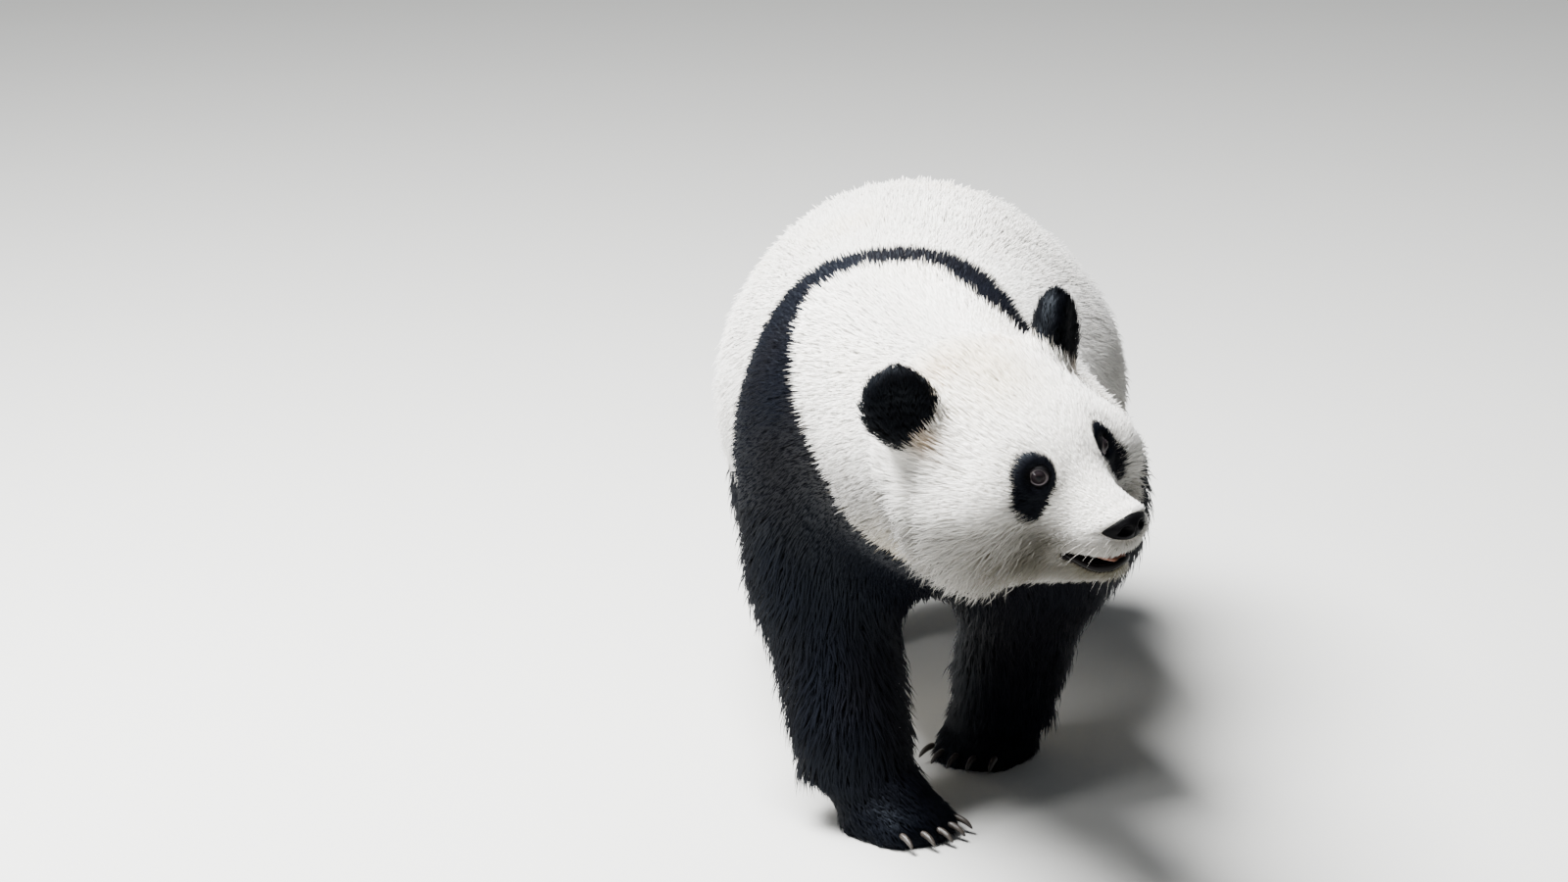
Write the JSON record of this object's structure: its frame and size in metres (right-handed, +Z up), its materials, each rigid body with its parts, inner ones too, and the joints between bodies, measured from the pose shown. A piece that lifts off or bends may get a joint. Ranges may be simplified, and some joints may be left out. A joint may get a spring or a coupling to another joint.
{
  "type": "giant panda figure",
  "caption": "Life-size giant panda standing on all fours in mid-step, head turned to its left, with a white body, black legs, shoulders, ears and eye patches.",
  "frame": {"origin": "on the floor, under the middle of the figure's bounding box", "axes": "+Z up; the body faces -Y, so the animal's left side is at +X and its tail at +Y"},
  "size_m": [0.5844, 1.4238, 0.7324],
  "materials": {
    "white_coat": "dense fur",
    "black_coat": "dense fur, slight sheen",
    "nose_leather": "wet grained skin",
    "eye": "wet gloss",
    "tongue": "wet satin",
    "claw_horn": "satin horn"
  },
  "bodies": {
    "root": {"neck": "white_coat", "shoulders": "black_coat", "trunk": "white_coat", "tail": "white_coat", "head": "white_coat", "jaw": "white_coat", "tongue": "tongue", "nose": "nose_leather", "eye_right": "eye", "eye_left": "eye", "ear_right": "black_coat", "ear_left": "black_coat", "foreleg_right": "black_coat", "forepaw_right": "black_coat", "foreleg_left": "black_coat", "forepaw_left": "black_coat", "hindleg_right": "black_coat", "hindpaw_right": "black_coat", "hindleg_left": "black_coat", "hindpaw_left": "black_coat", "claw_forepaw_right_1": "claw_horn", "claw_forepaw_right_2": "claw_horn", "claw_forepaw_right_3": "claw_horn", "claw_forepaw_right_4": "claw_horn", "claw_forepaw_right_5": "claw_horn", "claw_forepaw_left_1": "claw_horn", "claw_forepaw_left_2": "claw_horn", "claw_forepaw_left_3": "claw_horn", "claw_forepaw_left_4": "claw_horn", "claw_forepaw_left_5": "claw_horn", "claw_hindpaw_right_1": "claw_horn", "claw_hindpaw_right_2": "claw_horn", "claw_hindpaw_right_3": "claw_horn", "claw_hindpaw_right_4": "claw_horn", "claw_hindpaw_right_5": "claw_horn", "claw_hindpaw_left_1": "claw_horn", "claw_hindpaw_left_2": "claw_horn", "claw_hindpaw_left_3": "claw_horn", "claw_hindpaw_left_4": "claw_horn", "claw_hindpaw_left_5": "claw_horn"}
  },
  "joints": []
}
